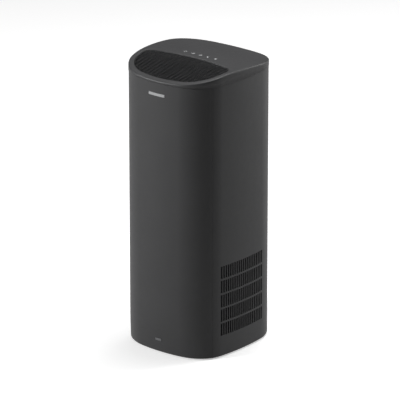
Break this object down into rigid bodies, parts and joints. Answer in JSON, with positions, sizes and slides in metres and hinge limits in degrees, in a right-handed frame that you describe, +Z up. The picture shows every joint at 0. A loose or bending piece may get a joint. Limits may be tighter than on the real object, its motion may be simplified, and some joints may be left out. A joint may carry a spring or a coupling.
{
  "type": "air purifier",
  "caption": "Tower air purifier with low side intakes, a drum filter behind a pull-off front cover, a centrifugal fan and a crowned top outlet grille.",
  "frame": {"origin": "on the floor, under the middle of the body's width and depth", "axes": "+Z up, -Y towards the front cover, +X to the right seen from the front"},
  "size_m": [0.3044, 0.3306, 0.75],
  "materials": {
    "graphite_shell": "fine matt moulded grain",
    "black_plastic": "matt moulded",
    "white_plastic": "satin moulded",
    "black_rubber": "soft matt",
    "zinc_steel": "zinc plated",
    "magnet_nickel": "nickel plated",
    "filter_paper": "pleated melt-blown paper",
    "prefilter_mesh": "fine woven mesh",
    "gasket_foam": "open foam",
    "tab_webbing": "woven tape",
    "circuit_board": "solder mask",
    "pale_print": "pale inlay",
    "badge_grey": "satin"
  },
  "bodies": {
    "cabinet": {"rear_housing": "graphite_shell", "base_tray": "black_plastic", "rubber_feet": "black_rubber", "front_frame": "black_plastic", "left_intake_grille": "graphite_shell", "right_intake_grille": "graphite_shell", "bay_deck": "black_plastic", "inlet_ring": "white_plastic", "inlet_ring_screws": "zinc_steel", "fan_casing": "black_plastic", "casing_screws": "zinc_steel", "fan_diffuser": "white_plastic", "motor": "zinc_steel", "motor_grommets": "black_rubber", "motor_screws": "zinc_steel", "motor_cover": "white_plastic", "outlet_duct": "black_plastic", "duct_screws": "zinc_steel", "top_cap": "graphite_shell", "outlet_grille": "black_plastic", "touch_symbols": "pale_print", "control_board": "circuit_board", "board_screws": "zinc_steel", "power_board": "circuit_board", "power_board_screws": "zinc_steel", "inner_lead": "black_rubber", "power_gland": "black_rubber", "dust_sensor": "black_plastic", "handle_cup": "black_plastic", "catch_plates": "zinc_steel"},
    "fan_rotor": {"impeller": "white_plastic", "motor_shaft": "zinc_steel", "shaft_nut": "zinc_steel"},
    "filter": {"filter_media": "filter_paper", "filter_core": "white_plastic", "prefilter_sleeve": "prefilter_mesh", "filter_bottom_cap": "white_plastic", "filter_top_cap": "white_plastic", "filter_gasket": "gasket_foam", "filter_pull_tab": "tab_webbing"},
    "cover": {"front_cover": "graphite_shell", "cover_liner": "black_plastic", "cover_magnets": "magnet_nickel", "name_plate": "pale_print", "lower_badge": "badge_grey"}
  },
  "joints": [
    {"name": "fan_spin", "type": "hinge", "parent": "cabinet", "child": "fan_rotor", "pos_m": [0, 0.03035, 0.33], "axis": [0, 0, 1], "continuous": true},
    {"name": "front_cover_pull", "type": "slide", "parent": "cabinet", "child": "cover", "axis": [0, -1, 0], "range_m": [0, 0.3]},
    {"name": "filter_slide", "type": "slide", "parent": "cabinet", "child": "filter", "axis": [0, -1, 0], "range_m": [0, 0.27]}
  ],
  "couplings": [
    {"joint": "filter_slide", "follows": "front_cover_pull", "ratio": 0.9}
  ]
}
